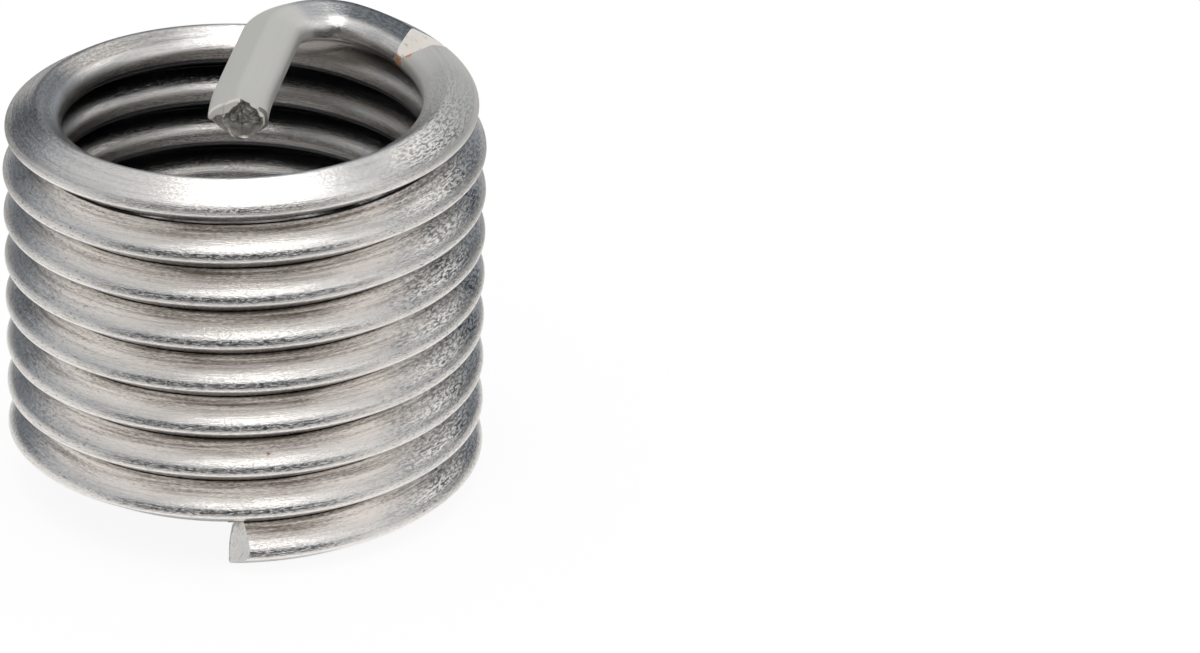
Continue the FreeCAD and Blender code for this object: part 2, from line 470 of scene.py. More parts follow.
class WireTree:
    """Geometry node tree that sweeps the diamond section along the coil, the bend and the tang."""

    NAME = "wound_wire"
    WELD = 0.0005

    def __init__(self, sizes: WireSizes, wear: WireWear, steps: MeshSteps) -> None:
        """Start the tree with its named inputs.

        Args:
            sizes: The wire's sizes.
            wear: How the wire departs from the solid.
            steps: How finely it is divided.
        """
        self.sizes, self.wear, self.steps = sizes, wear, steps
        self.tree = bpy.data.node_groups.new(self.NAME, "GeometryNodeTree")
        self.nodes = Nodes(self.tree)
        self.values: dict[str, float] = {
            "Crest Radius": sizes.crest_radius,
            "Ridge Radius": sizes.ridge_radius,
            "Bore Radius": sizes.bore_radius,
            "Wire Width": sizes.wire_width,
            "Coil Rise": sizes.coil_rise,
            "Start Bearing": math.radians(sizes.start_bearing),
            "Working Turns": sizes.working_turns,
            "Tang Turns": sizes.tang_turns,
            "Tang Coil Shrink": sizes.tang_coil_shrink,
            "Bend Radius": sizes.bend_radius,
            "Bend Angle": math.radians(sizes.bend_angle),
            "Tang Length": sizes.tang_length,
            "Base Slope": sizes.base_slope,
            "Ridge Fill": wear.ridge_fill,
            "Unevenness": wear.unevenness,
        }
        face = self.tree.interface
        for name, value in self.values.items():
            socket = face.new_socket(name=name, in_out="INPUT", socket_type="NodeSocketFloat")
            socket.default_value = value
        face.new_socket(name="Geometry", in_out="OUTPUT", socket_type="NodeSocketGeometry")
        self.entry = self.nodes.add("NodeGroupInput")

    def input(self, name: str) -> Field:
        """One of the tree's named inputs."""
        return Field(self.nodes, self.entry.outputs[name])

    def line(self, count: int) -> tuple[Socket, Field]:
        """An open curve of evenly spaced points.

        Args:
            count: Number of points.

        Returns:
            The curve with its points' share kept, and that share from 0 to 1.
        """
        line = self.nodes.add("GeometryNodeCurvePrimitiveLine", {"End": (1, 0, 0)})
        inputs = {"Count": count, "Curve": line.outputs["Curve"]}
        points = self.nodes.add("GeometryNodeResampleCurve", inputs, mode="COUNT")
        share = self.nodes.add("GeometryNodeSplineParameter")
        kept = self.nodes.add("GeometryNodeCaptureAttribute", domain="POINT")
        kept.capture_items.new("FLOAT", "Share")
        self.nodes.fill(kept, {"Geometry": points.outputs["Curve"], "Share": share.outputs["Factor"]})
        return kept.outputs["Geometry"], Field(self.nodes, kept.outputs["Share"])

    def moved(self, curve: Socket, place: Socket) -> Socket:
        """The curve with its points moved to a place."""
        moved = self.nodes.add("GeometryNodeSetPosition", {"Geometry": curve, "Position": place})
        return moved.outputs["Geometry"]

    def softened(self, curve: Socket, weight: Field, rounds: int) -> Socket:
        """A curve whose corners are rounded.

        Args:
            curve: The curve.
            weight: How far each point gives way, from 0 to 1.
            rounds: How often the points are evened out.

        Returns:
            The rounded curve.
        """
        place = self.nodes.add("GeometryNodeInputPosition").outputs[0]
        inputs = {"Iterations": rounds, "Weight": weight, "Value": place}
        soft = self.nodes.add("GeometryNodeBlurAttribute", inputs, data_type="FLOAT_VECTOR")
        return self.moved(curve, soft.outputs["Value"])

    def section(self) -> tuple[Socket, Field]:
        """The wire's section, with its crest on +X and its seam in the bore.

        Returns:
            The section's curve, and the share of the way round it.
        """
        wear = self.wear
        curve, share = self.line(self.steps.around + 1)
        half = self.input("Wire Width") / 2
        from_crest = (share * 4 - 2).size()
        out = half / self.sizes.flank_slope * from_crest.left()
        up_side, down_side = ((share * 4 - ridge).size().left().most(0) for ridge in (1, 3))
        crest = self.input("Crest Radius") - self.input("Ridge Radius")
        bore = self.input("Bore Radius") - self.input("Ridge Radius")
        height = (half + self.input("Ridge Fill")) * (down_side - up_side)
        place = self.nodes.vector(out.least(crest).most(bore), height, 0.0)
        worn = share.band(*wear.crest_wear).most(share.band(*wear.bore_edge_wear))
        off_seam = (from_crest * -1 + 2).join("MULTIPLY", PER_METRE, clamp=True)
        off_ridge = from_crest.near(1, wear.sharp_ridge) * 0.55 + 0.45
        crisp = share.near(wear.crisp_edge, wear.crisp_reach) * 0.75 + 0.25
        shaped = self.softened(self.moved(curve, place), worn, self.steps.wear)
        return self.softened(shaped, off_seam * off_ridge * crisp, self.steps.soften), share

    def path(self) -> tuple[Socket, Field]:
        """The ridge line of the wire.

        Returns:
            The line's curve, and the length along it.
        """
        curve, share = self.line(self.steps.rings)
        split = self.steps.coil_share
        ridge, base_slope = self.input("Ridge Radius"), self.input("Base Slope")
        bend_radius, bend = self.input("Bend Radius"), self.input("Bend Angle")
        turns_all = self.input("Working Turns") + self.input("Tang Turns")
        coil_part = (share / split).least(1)
        turns = turns_all * coil_part
        bend_length = bend_radius * bend
        past = (share - split).most(0) / (1 - split) * (bend_length + self.input("Tang Length"))
        along = ridge * turns_all * FULL_TURN * coil_part + past
        shift = self.nodes.noise(self.nodes.vector(along * 0.11, 3.7, 0.0), 1.0, 0.5) - 0.5
        level = shift * self.input("Unevenness") * 2 * turns.band(*self.wear.uneven_turns)
        bearing = self.input("Start Bearing") + turns * FULL_TURN
        drawn_in = self.input("Tang Coil Shrink") * (turns - self.input("Working Turns")).most(0)
        turn = past.least(bend_length) / bend_radius
        straight = (past - bend_length).most(0)
        across = bend_radius * (turn.cosine() - 1) - straight * bend.sine()
        ahead = bend_radius * turn.sine() + straight * bend.cosine()
        level_ahead = ahead * base_slope.cosine()
        reach = ridge - drawn_in / self.input("Tang Turns") + across
        x = reach * bearing.cosine() - level_ahead * bearing.sine()
        y = reach * bearing.sine() + level_ahead * bearing.cosine()
        height = self.input("Coil Rise") * turns + self.input("Wire Width") / 2
        z = height + ahead * base_slope.sine() + level
        return self.moved(curve, self.nodes.vector(x, y, z)), along

    def build(self, material: bpy.types.Material) -> None:
        """Put the tree together.

        Args:
            material: The finish that the swept wire gets.
        """
        add = self.nodes.add
        section, round_share = self.section()
        path, along = self.path()
        upright = add("GeometryNodeSetCurveNormal", {"Curve": path}, mode="Z_UP")
        sweep = add("GeometryNodeCurveToMesh", {"Curve": upright.outputs["Curve"], "Profile Curve": section})
        place = self.nodes.vector(along, round_share * (4 * self.sizes.wire_width), 0.0)
        inputs = {"Name": UV_NAME, "Geometry": sweep.outputs["Mesh"], "Value": place}
        kept = add("GeometryNodeStoreNamedAttribute", inputs, data_type="FLOAT2", domain="CORNER")
        geometry = kept.outputs["Geometry"]
        for kind, settings in (
            ("GeometryNodeMergeByDistance", {"Distance": self.WELD}),
            ("GeometryNodeTransform", {"Scale": (MM, MM, MM)}),
            ("GeometryNodeRealizeInstances", {}),
            ("GeometryNodeSetMaterial", {"Material": material}),
        ):
            geometry = add(kind, {**settings, "Geometry": geometry}).outputs["Geometry"]
        add("NodeGroupOutput", {"Geometry": geometry})

    def mesh(self) -> bpy.types.Mesh:
        """Evaluate the tree on an empty object.

        Returns:
            The wire as a plain mesh in metres.
        """
        holder = bpy.data.objects.new("wire_holder", bpy.data.meshes.new("wire_holder"))
        bpy.context.scene.collection.objects.link(holder)
        modifier = holder.modifiers.new(self.NAME, "NODES")
        modifier.node_group = self.tree
        for item in self.tree.interface.items_tree:
            if item.in_out == "INPUT" and item.name in self.values:
                modifier[item.identifier] = self.values[item.name]
        graph = bpy.context.evaluated_depsgraph_get()
        made = bpy.data.meshes.new_from_object(holder.evaluated_get(graph), depsgraph=graph)
        holder.modifiers.remove(modifier)
        bpy.data.objects.remove(holder)
        return made


# Finishes


class SteelGroups:
    """Shader node groups for the patterns in the wire's finishes."""

    def __init__(self) -> None:
        """Build each group once."""
        self.lines = self.drawn_lines()
        self.pits = self.pitted()
        self.dirt_and_dark_reflection = self.stained()
        self.rust = self.rusted()

    @staticmethod
    def start(name: str, amount: str, *outputs: str) -> tuple[Nodes, Socket, Field, bpy.types.Node]:
        """An empty group with its sockets.

        Args:
            name: The group's name.
            amount: The name of its second input, after its vector.
            outputs: The names of its outputs.

        Returns:
            Its nodes, the vector and the amount that come in, and the node that its results go to.
        """
        tree = bpy.data.node_groups.new(name, "ShaderNodeTree")
        tree.interface.new_socket(name="Vector", in_out="INPUT", socket_type="NodeSocketVector")
        tree.interface.new_socket(name=amount, in_out="INPUT", socket_type="NodeSocketFloat")
        for label in outputs:
            tree.interface.new_socket(name=label, in_out="OUTPUT", socket_type="NodeSocketFloat")
        nodes = Nodes(tree)
        entry = nodes.add("NodeGroupInput")
        return nodes, entry.outputs[0], Field(nodes, entry.outputs[1]), nodes.add("NodeGroupOutput")

    def drawn_lines(self) -> Tree:
        """Fine lines that the drawing die leaves along the wire, from millimetres along and across it.

        Returns:
            The group.
        """
        nodes, vector, strength, leave = self.start("drawn_lines", "Strength", "Height", "Tone", "Marks")
        fine = nodes.noise(nodes.scaled(vector, 1.6, 42.0, 1.0), 2.0, 0.6) - 0.5
        broad = nodes.noise(nodes.scaled(vector, 0.5, 12.0, 1.0), 2.0, 0.5) - 0.5
        short = nodes.noise(nodes.scaled(vector, 9.0, 60.0, 1.0), 2.0, 0.65) - 0.5
        scored = nodes.noise(nodes.scaled(vector, 7.5, 22.0, 1.0), 2.0, 0.7)
        height = (fine + broad * 0.8 + short * 1.5) * strength
        tone = (broad * 1.4 + short * 1.2) * strength
        nodes.fill(leave, {"Height": height, "Tone": tone, "Marks": scored.step(0.47, 0.55) * strength})
        return nodes.tree

    def pitted(self) -> Tree:
        """Small pits and grains in the steel, from coordinates in millimetres.

        Returns:
            The group.
        """
        nodes, vector, strength, leave = self.start("pitted_steel", "Strength", "Height", "Dark")
        grain = nodes.noise(nodes.scaled(vector, 15.0, 24.0, 1.0), 2.0, 0.6) - 0.5
        speck = nodes.noise(nodes.scaled(vector, 9.0, 18.0, 1.0), 4.0, 0.7)
        nodes.fill(leave, {"Height": grain * strength, "Dark": speck.step(0.55, 0.68) * strength})
        return nodes.tree

    def stained(self) -> Tree:
        """Soft patches of thin dirt over the steel, from object coordinates in metres.

        Returns:
            The group.
        """
        nodes, vector, strength, leave = self.start("thin_dirt", "Strength", "Mask")
        patch = nodes.noise(nodes.scaled(vector, 700.0, 700.0, 1500.0), 4.0, 0.65)
        nodes.fill(leave, {"Mask": patch.step(0.45, 0.75) * strength})
        return nodes.tree

    def rusted(self) -> Tree:
        """A small rust spot with a ragged edge, from millimetres about its middle.

        Returns:
            The group.
        """
        nodes, vector, radius, leave = self.start("rust_spot", "Radius", "Mask")
        ragged = nodes.noise(nodes.scaled(vector, 14.0, 14.0, 14.0), 3.0, 0.7) - 0.5
        share = nodes.length(vector) / radius
        nodes.fill(leave, {"Mask": (share + ragged * 1.6).step(1.0, 0.45)})
        return nodes.tree


@dataclass(frozen=True)
class SteelFinish:
    """Colours and surface depths of one finish of the steel. Depths are in millimetres."""

    name: str
    bright: Colour = (0.87, 0.832, 0.790)
    # In the drawn steel this dull colour also stands for painted shade.
    dull_and_shade: Colour = (0.20, 0.170, 0.142)
    roughness: float = 0.18
    line_depth: float = 0.0035
    pit_depth: float = 0.026
    dirt: float = 0.5
    metallic: float = 1.0


@dataclass(frozen=True)
class SteelMarks:
    """Where the marks on the drawn steel start and are full, in millimetres but for shares.

    The shares are of the bend and of one turn. Places across the wire count from its seam in the bore,
    over the upper ridge, the crest and the lower ridge. Places at the sides and in depth are those of the
    frame's X and Y. The rest count from the part of the wire that they name.
    """

    near_crest: Span = (0.30, 0.08)
    off_crest: Span = (0.12, 0.34)
    upper_groove: Span = (0.055, 0.020)
    lower_groove: Span = (0.045, 0.020)
    upper_flanks: Span = (0.52, 0.12)
    past_lower_ridge: Span = (-0.02, 0.10)
    bore_land_start: Span = (-0.20, -0.10)
    bore_land_end: Span = (0.16, 0.08)
    upper_inner: Band = (0.42, 0.72, 0.875, 0.90)
    # Where a painted light band stands in for the floor's reflection on the lower flank.
    painted_reflection_band: Band = (1.80, 1.90, 2.40, 2.56)
    # Where a painted dark reflection runs along the crest's upper edge.
    dark_reflection_line: float = 1.685
    dark_reflection_reach: Span = (0.12, 0.06)
    dark_reflection_sideways: Band = (-3.2, -1.8, 1.2, 2.8)
    below_a_turn: float = 0.9
    above_a_turn: float = 0.2
    coil_end: Span = (1.6, -2.4)
    matt_bend_shares: Span = (0.50, 0.78)
    matt_before_notch: Band = (-6.0, -2.5, -0.2, 0.0)
    # Where a painted dark reflection lies on top of the wire past the notch.
    dark_reflection_ends: Band = (0.0, 0.1, 0.2, 1.2)
    dark_reflection_across: Band = (0.44, 0.60, 1.2, 1.6)
    behind_turns: Band = (-0.92, -0.78, -0.64, -0.52)
    behind_across: Span = (0.40, 0.62)
    beside: Span = (2.2, 3.6)
    wide: Span = (0.8, 2.4)
    scored_right: Span = (2.3, 4.2)
    scored_left: Span = (-2.8, -4.2)
    front: Span = (1.0, -1.2)


@dataclass(frozen=True)
class SteelColours:
    """Colours of the marks on the steel, and of its painted shade and painted reflections."""

    # Dark flecks and scores, and painted dark reflections.
    fleck_and_dark_reflection: Colour = (0.085, 0.108, 0.125)
    # Painted reflection of the pale floor on the lower flank.
    painted_reflection_band: Colour = (0.97, 0.94, 0.93)
    # Painted shade, for the grooves between turns and the inner flanks in the bore.
    painted_shade: Colour = (0.022, 0.027, 0.038)
    matt: Colour = (0.525, 0.520, 0.485)
    rust: Colour = (0.42, 0.17, 0.055)
    cut_rust: Colour = (0.24, 0.11, 0.045)


class Steel:
    """One steel material of the wire, with the places and patterns that its finish is made from."""

    ROOT_MIDDLE = -0.50

    def __init__(self, finish: SteelFinish, sizes: WireSizes, groups: SteelGroups) -> None:
        """Start the material, on its Principled shader and its object coordinates.

        Args:
            finish: Its colours and depths.
            sizes: The wire's sizes.
            groups: The shared shader groups.
        """
        self.finish, self.sizes, self.groups, self.colours = finish, sizes, groups, SteelColours()
        self.material = bpy.data.materials.new(finish.name)
        self.material.use_nodes = True
        self.nodes = Nodes(self.material.node_tree)
        self.shader = self.material.node_tree.nodes["Principled BSDF"]
        self.place = self.nodes.add("ShaderNodeTexCoord").outputs["Object"]
        self.dirt = self.nodes.group(groups.dirt_and_dark_reflection, self.place, finish.dirt)["Mask"]
        self.near_root = self.nodes.shifted(self.place, sizes.notch_point(self.ROOT_MIDDLE), PER_METRE)

    def rusted(self, vector: Socket, radius: float) -> Field:
        """The mask of a rust spot of a radius in millimetres, about the vector's origin."""
        return self.nodes.group(self.groups.rust, vector, radius)["Mask"]


class CutSteel(Steel):
    """The cut and torn steel of the notch and the ends."""

    def build(self) -> bpy.types.Material:
        """Put the material together.

        Returns:
            The material.
        """
        nodes, finish = self.nodes, self.finish
        pits = nodes.group(self.groups.pits, nodes.millimetres(self.place), 1.0)
        tone = pits["Dark"] * 0.6 + self.dirt * 0.6
        root_line = (self.sizes.notch_point(1.0) - self.sizes.notch_point(0.0)).normalized()
        inputs = {0: self.near_root, 1: root_line}
        off_root = nodes.add("ShaderNodeVectorMath", inputs, operation="CROSS_PRODUCT").outputs[0]
        rust = self.rusted(self.near_root, 0.16).most(self.rusted(off_root, 0.035) * 0.75)
        colour = nodes.blend(tone.held(), finish.bright, finish.dull_and_shade)
        nodes.fill(self.shader, {
            "Metallic": finish.metallic,
            "Base Color": nodes.blend(rust, colour, self.colours.cut_rust),
            "Roughness": pits["Dark"] * 0.2 + finish.roughness,
            "Normal": nodes.bump(pits["Height"] * finish.pit_depth),
        })
        return self.material


class DrawnSteel(Steel):
    """The drawn steel of the wire's surface, on coordinates along and across it in millimetres."""

    LAST_TURN_SPOT = Vector((53.4, 1.27, 0))

    def __init__(self, finish: SteelFinish, sizes: WireSizes, groups: SteelGroups) -> None:
        """Start the material and read the parts of the wire that its marks keep to.

        Args:
            finish: Its colours and depths.
            sizes: The wire's sizes.
            groups: The shared shader groups.
        """
        super().__init__(finish, sizes, groups)
        nodes = self.nodes
        self.marks = marks = SteelMarks()
        self.uv = nodes.add("ShaderNodeUVMap", uv_map=UV_NAME).outputs[0]
        self.along, self.across = nodes.parts(self.uv)[:2]
        self.x, y = (part * PER_METRE for part in nodes.parts(self.place)[:2])
        self.lines = nodes.group(groups.lines, self.uv, 1.0)
        self.pits = nodes.group(groups.pits, self.uv, 1.0)
        last_turn = sizes.coil_length - sizes.turn_length
        self.crest = self.across.near(2 * sizes.wire_width, marks.near_crest)
        self.above = self.along.step(last_turn + marks.below_a_turn, last_turn - marks.below_a_turn)
        self.coiled = self.along.step(*self.placed(marks.coil_end, sizes.coil_length))
        self.front = y.step(*marks.front)
        self.matt = self.matted()

    @staticmethod
    def placed(places: tuple[float, ...], start: float, scale: float = 1.0) -> tuple[float, ...]:
        """Places counted from a start, on a scale, as places along the wire."""
        return tuple(start + place * scale for place in places)

    def matted(self) -> Field:
        """Where the steel is matt: past the middle of the bend, and partly ahead of the notch.

        Returns:
            The mask.
        """
        sizes, marks = self.sizes, self.marks
        tang = self.along.step(*self.placed(marks.matt_bend_shares, sizes.coil_length, sizes.bend_length))
        return tang.most(self.along.band(*self.placed(marks.matt_before_notch, sizes.notch_length)) * 0.6)

    def painted_groove_shade(self) -> Field:
        """Painted shade: the dark lines where two turns nearly touch.

        Returns:
            The mask.
        """
        sizes, marks = self.sizes, self.marks
        turn, reach = sizes.turn_length, marks.above_a_turn
        below = self.along.step(turn - reach, turn + reach)
        upper = self.across.near(sizes.wire_width, marks.upper_groove) * self.above
        return upper + self.across.near(3 * sizes.wire_width, marks.lower_groove) * below

    def painted_bore_shade(self) -> Field:
        """Painted shade on the inner flanks of the coil, which see little light, but for the bore's land.

        Returns:
            The mask.
        """
        marks, width = self.marks, self.sizes.wire_width
        # Painted shade on the lower inner flank and in the bore, lighter on the bore's land.
        under = self.across.step(*self.placed(marks.past_lower_ridge, 3 * width))
        land = under * self.across.step(*self.placed(marks.bore_land_start, 4 * width))
        land = land.most(self.across.step(*marks.bore_land_end))
        # Painted shade on the upper inner flank under each turn above.
        upper = self.across.band(*marks.upper_inner) * self.above * 0.85
        return (under * land.left(0.85)).most(upper) * self.coiled

    def dulled_and_shaded(self, painted_shade: Field) -> Field:
        """How far lines, pits and dirt dull the steel, with painted shade in and beside the grooves and on
        the back of the top turn.

        Args:
            painted_shade: Painted shade in the dark lines between turns.

        Returns:
            The share of the dull colour, which also stands for painted shade, from 0 up.
        """
        sizes, marks, dark = self.sizes, self.marks, self.pits["Dark"]
        # Painted shade on the upper flanks near the groove under each turn above, strongest near the middle
        # plane of X, where the lines also show darker.
        groove_side_shade = self.across.near(sizes.wire_width, marks.upper_flanks) * self.above
        pitted = dark * (self.crest * 0.85 + 0.15) * self.matt.left(0.9) * 0.6
        beside, wide = (self.x.size().step(*span) for span in (marks.beside, marks.wide))
        # Painted shade on the back of the top turn.
        shade_behind = self.along.band(*self.placed(marks.behind_turns, sizes.coil_length, sizes.turn_length))
        shade_behind = shade_behind * self.across.step(*marks.behind_across) * (self.lines["Marks"] * 0.2 + 0.34)
        tone = self.lines["Tone"] * self.matt.left(0.6) * (groove_side_shade * 1.3 + 0.6) + pitted
        tone = tone + self.dirt * 0.36 * self.matt.left(0.7) + painted_shade + groove_side_shade * wide.left(0.55) * 0.62
        return tone + dark * beside * self.front * self.above * 0.55 + shade_behind

    def flecks_and_dark_reflections(self) -> Field:
        """Dark scores at the coil's sides, and painted dark reflections along the crest's upper edge and on
        the wire's top past the notch.

        Returns:
            The mask, from 0 up.
        """
        sizes, marks, score = self.sizes, self.marks, self.lines["Marks"]
        sides = self.x.step(*marks.scored_right) + self.x.step(*marks.scored_left) * 0.35
        scored = sides * (self.dirt * 1.6 + 0.45) * self.front
        scored = scored * self.across.near(2 * sizes.wire_width, marks.off_crest)
        # A painted dark reflection along the crest's upper edge, across the middle of the coil, on each turn
        # with a turn above.
        edge = self.across.near(marks.dark_reflection_line, marks.dark_reflection_reach) * self.x.band(*marks.dark_reflection_sideways)
        edge = edge * self.above * self.coiled
        # A painted dark reflection on top of the wire from the notch into the bend.
        start, full, full_end, end = marks.dark_reflection_ends
        dirt_and_dark_reflection = self.along.step(sizes.notch_length + start, sizes.notch_length + full)
        dirt_and_dark_reflection = dirt_and_dark_reflection * self.along.step(sizes.coil_length + end, sizes.coil_length + full_end)
        dirt_and_dark_reflection = dirt_and_dark_reflection * self.across.band(*marks.dark_reflection_across)
        return (score * scored * 1.35).most(edge * (score * 0.75 + 0.1)).most(dirt_and_dark_reflection * (score * 0.15 + 0.76))

    def spotted(self) -> Field:
        """Rust in the notch, just ahead of it and on the last turn.

        Returns:
            The mask.
        """
        before_notch = Vector((self.sizes.notch_length - 0.24, 0.42, 0))
        spots = self.rusted(self.near_root, 0.17)
        spots = spots.most(self.rusted(self.nodes.shifted(self.uv, before_notch), 0.17))
        return spots.most(self.rusted(self.nodes.shifted(self.uv, self.LAST_TURN_SPOT), 0.045))

    def build(self) -> bpy.types.Material:
        """Put the material together.

        Returns:
            The material.
        """
        nodes, finish, colours = self.nodes, self.finish, self.colours
        painted_shade, matt, crest, spots = self.painted_groove_shade(), self.matt, self.crest, self.spotted()
        # A painted light band on the lower flank at the coil's front, standing in for the floor's reflection.
        painted_reflection_band = self.across.band(*self.marks.painted_reflection_band) * self.coiled * self.front
        colour = nodes.blend(self.dulled_and_shaded(painted_shade).held(), finish.bright, finish.dull_and_shade)
        colour = nodes.blend(self.flecks_and_dark_reflections().held(), colour, colours.fleck_and_dark_reflection)
        colour = nodes.blend(painted_reflection_band, colour, colours.painted_reflection_band, 0.8)
        # Painted shade in the bore and in the grooves between turns.
        colour = nodes.blend((self.painted_bore_shade() * 0.92).most(painted_shade * 0.93), colour, colours.painted_shade)
        colour = nodes.blend(matt, colour, colours.matt, 0.8)
        rough = self.lines["Tone"] * 0.12 + crest * 0.06 + matt * 0.30 + spots * 0.4 + finish.roughness
        grain = self.pits["Height"] * (crest * 0.26 + 0.12) * matt.left(0.8) * finish.pit_depth
        nodes.fill(self.shader, {
            "Base Color": nodes.blend(spots * 0.85, colour, colours.rust),
            "Metallic": matt.left(0.55) - spots * 0.5,
            "Roughness": rough,
            "Normal": nodes.bump(self.lines["Height"] * matt.left(0.6) * finish.line_depth + grain),
        })
        return self.material


# Wire


class InsertWire:
    """The whole insert: coil, bend, tang, notch and both ends, as one piece."""

    FINISHES = {
        Slot.DRAWN: SteelFinish("drawn_steel"),
        Slot.SHEARED: SteelFinish(
            "sheared_steel", (0.76, 0.73, 0.68), (0.45, 0.42, 0.38), 0.34,
            pit_depth=0.008, dirt=0.35, metallic=0.25,
        ),
        Slot.TORN: SteelFinish(
            "torn_steel", (0.40, 0.385, 0.35), (0.07, 0.06, 0.05), 0.40,
            pit_depth=0.014, dirt=0.8, metallic=0.6,
        ),
        Slot.GROUND: SteelFinish(
            "ground_steel", (0.84, 0.815, 0.78), (0.40, 0.37, 0.33), 0.24,
            pit_depth=0.006, dirt=0.3,
        ),
    }

    def __init__(self, sizes: WireSizes, wear: WireWear, steps: MeshSteps) -> None:
        """Keep the sizes and make the four finishes.

        Args:
            sizes: The wire's sizes.
            wear: How the wire departs from the solid.
            steps: How finely it is divided.
        """
        self.sizes, self.wear, self.steps = sizes, wear, steps
        groups = SteelGroups()
        self.materials = {
            slot: (DrawnSteel if slot is Slot.DRAWN else CutSteel)(finish, sizes, groups).build()
            for slot, finish in self.FINISHES.items()
        }

    def build(self) -> bpy.types.Object:
        """Make the wire.

        Returns:
            The finished piece.
        """
        tree = WireTree(self.sizes, self.wear, self.steps)
        tree.build(self.materials[Slot.DRAWN])
        mesh = tree.mesh()
        for slot in (Slot.SHEARED, Slot.TORN, Slot.GROUND):
            mesh.materials.append(self.materials[slot])
        self.press(mesh)
        self.close_ends(mesh)
        piece = bpy.data.objects.new("wound_wire", mesh)
        bpy.context.scene.collection.objects.link(piece)
        self.cut(piece, self.notch_cutter())
        self.cut(piece, self.bevel_cutter())
        self.shade(piece.data)
        return piece

    def press(self, mesh: bpy.types.Mesh) -> None:
        """Give the bend and the tang the flattened shape that bending leaves.

        The inner side bulges, most of all in the bend, and the sides of the section rise.

        Args:
            mesh: The swept wire.
        """
        sizes, wear = self.sizes, self.wear
        layer = mesh.uv_layers[UV_NAME].data
        along_at = {loop.vertex_index: layer[loop.index].uv[0] for loop in mesh.loops}
        bend_start = sizes.coil_length
        middle = bend_start + sizes.bend_length / 2
        for vertex in mesh.vertices:
            along = along_at[vertex.index]
            past = along - bend_start
            if past < -wear.press_reach:
                continue
            axes = sizes.axes(along)
            ahead, out, up = axes.inverted() @ (vertex.co / MM)
            share = self.ease(past, *wear.pressed)
            near_middle = math.exp(-(((along - middle) / wear.bend_bulge_reach) ** 2))
            inner = max(0.0, -out) / wear.bulge_depth
            bulge = (wear.tang_bulge * share + wear.bend_bulge * near_middle) * inner
            lift = wear.side_lift * self.ease(past, *wear.lifted) * min(1.0, abs(out) / wear.lift_reach)
            flat = 1.0 - wear.flattening * share * max(0.0, up)
            to_end = max(0.0, 1.0 - (sizes.wire_length - along) / wear.end_swing_length)
            moved = Vector((ahead, out - bulge - wear.end_swing * to_end ** 2, up * flat + lift))
            vertex.co = axes @ moved * MM

    @staticmethod
    def ease(value: float, start: float = 0.0, full: float = 1.0) -> float:
        """Smooth step from 0 at a start to 1 at a full value."""
        held = min(max((value - start) / (full - start), 0.0), 1.0)
        return held * held * (3 - 2 * held)

    def close_ends(self, mesh: bpy.types.Mesh) -> None:
        """Close the plain end with one face, and the tang's end with a sheared and torn one.

        Args:
            mesh: The swept wire.
        """
        work = bmesh.new()
        work.from_mesh(mesh)
        layer = work.loops.layers.uv[UV_NAME]
        half = self.sizes.wire_length / 2
        far, near = [], []
        for edge in work.edges:
            if edge.is_boundary:
                (far if edge.link_loops[0][layer].uv[0] > half else near).append(edge)
        for face in bmesh.ops.holes_fill(work, edges=near, sides=0)["faces"]:
            face.material_index = Slot.SHEARED
        self.tear(work, far)
        bmesh.ops.recalc_face_normals(work, faces=work.faces)
        work.to_mesh(mesh)
        work.free()

    def tear(self, work: bmesh.types.BMesh, rim: list[bmesh.types.BMEdge]) -> None:
        """Close the tang's end: a bright lip, a rolled edge and a rough torn middle.

        Args:
            work: The wire's mesh.
            rim: The open edges at the tang's end.
        """
        axes = self.sizes.axes(self.sizes.wire_length)
        back = axes.inverted()
        ring = self.ordered(rim)
        base = [back @ (vertex.co / MM) for vertex in ring]
        middle = sum(base, Vector()) / len(base)
        for vertex, point in zip(ring, base):
            out, up = point.y - middle.y, point.z - middle.z
            depth, _ = self.torn_face(out, up, 0.0)
            raised = 0.03 * self.ease(up / 0.25)
            vertex.co = axes @ Vector((point.x + depth, point.y, point.z + raised)) * MM
        loops, kinds = [ring], []
        for step in range(1, self.steps.tear):
            share = step / self.steps.tear
            made, kind = [], []
            for point in base:
                out, up = (point.y - middle.y) * (1 - share), (point.z - middle.z) * (1 - share)
                depth, slot = self.torn_face(out, up, share)
                made.append(work.verts.new(axes @ (middle + Vector((depth, out, up))) * MM))
                kind.append(slot)
            loops.append(made)
            kinds.append(kind)
        count = len(ring)
        for outer, inner, kind in zip(loops, loops[1:], kinds):
            for index in range(count):
                after = (index + 1) % count
                face = work.faces.new((outer[index], outer[after], inner[after], inner[index]))
                face.material_index = kind[index]
        depth, slot = self.torn_face(0.0, 0.0, 1.0)
        tip = work.verts.new(axes @ (middle + Vector((depth, 0.0, 0.0))) * MM)
        for index in range(count):
            face = work.faces.new((loops[-1][index], loops[-1][(index + 1) % count], tip))
            face.material_index = slot

